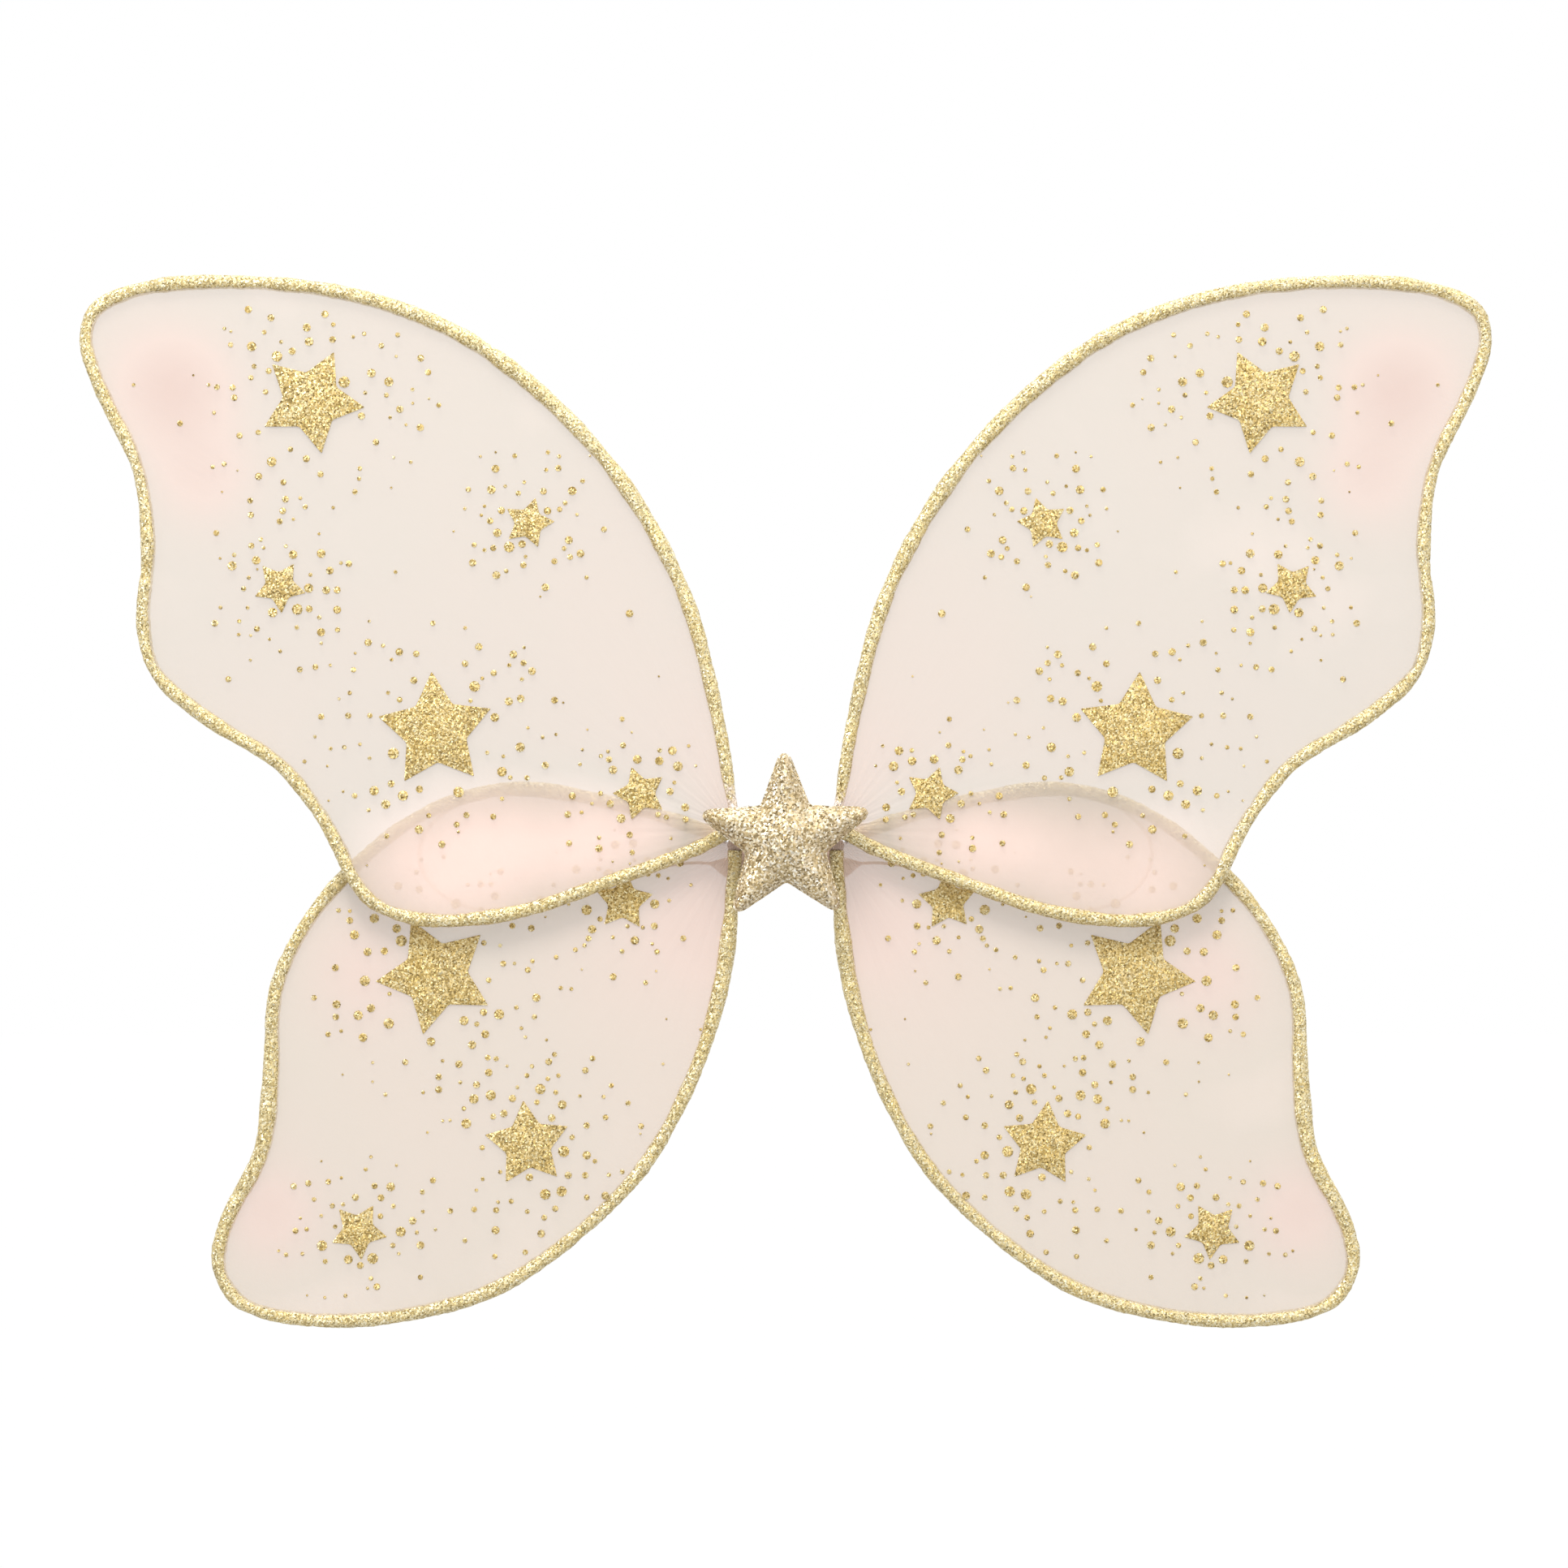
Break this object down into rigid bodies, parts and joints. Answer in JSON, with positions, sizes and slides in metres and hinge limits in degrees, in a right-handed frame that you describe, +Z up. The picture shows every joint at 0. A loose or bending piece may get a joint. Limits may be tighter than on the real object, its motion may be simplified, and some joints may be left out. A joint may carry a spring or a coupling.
{
  "type": "costume fairy wings",
  "caption": "Child's fairy wings: wire loops covered in sheer net with glitter edges, a padded centre star and elastic arm loops.",
  "frame": {"origin": "on the back face of the felt patch, where it rests on the wearer's back, 3.5 mm above the middle of that face", "axes": "+Z up as worn, +X to the right of someone looking at the display side, -Y towards the display side, +Y towards the wearer"},
  "size_m": [0.5, 0.0396, 0.373],
  "materials": {
    "steel_wire": "drawn spring steel wire",
    "net": "sheer stretched nylon net, cream with a pink cast",
    "glitter_coat": "gold glitter flakes in clear glue",
    "thread": "wound thread over gathered net",
    "tape": "woven cotton tape",
    "glitter_fabric": "champagne glitter fabric",
    "stuffing": "polyester fibre filling",
    "felt": "pressed felt",
    "elastic": "woven elastic"
  },
  "bodies": {
    "centre": {"upper_right_wire_tail": "steel_wire", "upper_left_wire_tail": "steel_wire", "lower_right_wire_tail": "steel_wire", "lower_left_wire_tail": "steel_wire", "centre_binding": "tape", "star_front_panel": "glitter_fabric", "star_back_panel": "glitter_fabric", "star_stuffing": "stuffing", "back_pad": "felt", "pad_patch": "felt"},
    "upper_right_wing": {"upper_right_wire_loop": "steel_wire", "upper_right_front_net": "net", "upper_right_back_net": "net", "upper_right_glitter_edge": "glitter_coat", "upper_right_gather_tie": "thread"},
    "upper_left_wing": {"upper_left_wire_loop": "steel_wire", "upper_left_front_net": "net", "upper_left_back_net": "net", "upper_left_glitter_edge": "glitter_coat", "upper_left_gather_tie": "thread"},
    "lower_right_wing": {"lower_right_wire_loop": "steel_wire", "lower_right_front_net": "net", "lower_right_back_net": "net", "lower_right_glitter_edge": "glitter_coat", "lower_right_gather_tie": "thread"},
    "lower_left_wing": {"lower_left_wire_loop": "steel_wire", "lower_left_front_net": "net", "lower_left_back_net": "net", "lower_left_glitter_edge": "glitter_coat", "lower_left_gather_tie": "thread"},
    "right_arm_loop": {"right_arm_elastic": "elastic"},
    "left_arm_loop": {"left_arm_elastic": "elastic"}
  },
  "joints": [
    {"name": "upper_right_wing_flap", "type": "hinge", "parent": "centre", "child": "upper_right_wing", "pos_m": [0.018, -0.01424, 0.0025], "axis": [0, 0, -1], "range_deg": [0, 28], "stiffness_Nm_per_rad": 0.08},
    {"name": "lower_right_wing_flap", "type": "hinge", "parent": "centre", "child": "lower_right_wing", "pos_m": [0.018, -0.00824, -0.0035], "axis": [0, 0, -1], "range_deg": [0, 16.8], "stiffness_Nm_per_rad": 0.06},
    {"name": "right_arm_loop_swing", "type": "hinge", "parent": "centre", "child": "right_arm_loop", "pos_m": [0.012, -0.0008, -0.0035], "axis": [0, 0, 1], "range_deg": [0, 90]},
    {"name": "upper_left_wing_flap", "type": "hinge", "parent": "centre", "child": "upper_left_wing", "pos_m": [-0.018, -0.01424, 0.0025], "axis": [0, 0, 1], "range_deg": [0, 28], "stiffness_Nm_per_rad": 0.08},
    {"name": "lower_left_wing_flap", "type": "hinge", "parent": "centre", "child": "lower_left_wing", "pos_m": [-0.018, -0.00824, -0.0035], "axis": [0, 0, 1], "range_deg": [0, 16.8], "stiffness_Nm_per_rad": 0.06},
    {"name": "left_arm_loop_swing", "type": "hinge", "parent": "centre", "child": "left_arm_loop", "pos_m": [-0.012, -0.0008, -0.0035], "axis": [0, 0, -1], "range_deg": [0, 90]}
  ],
  "couplings": [
    {"joint": "lower_right_wing_flap", "follows": "upper_right_wing_flap", "ratio": 0.6},
    {"joint": "lower_left_wing_flap", "follows": "upper_left_wing_flap", "ratio": 0.6}
  ]
}
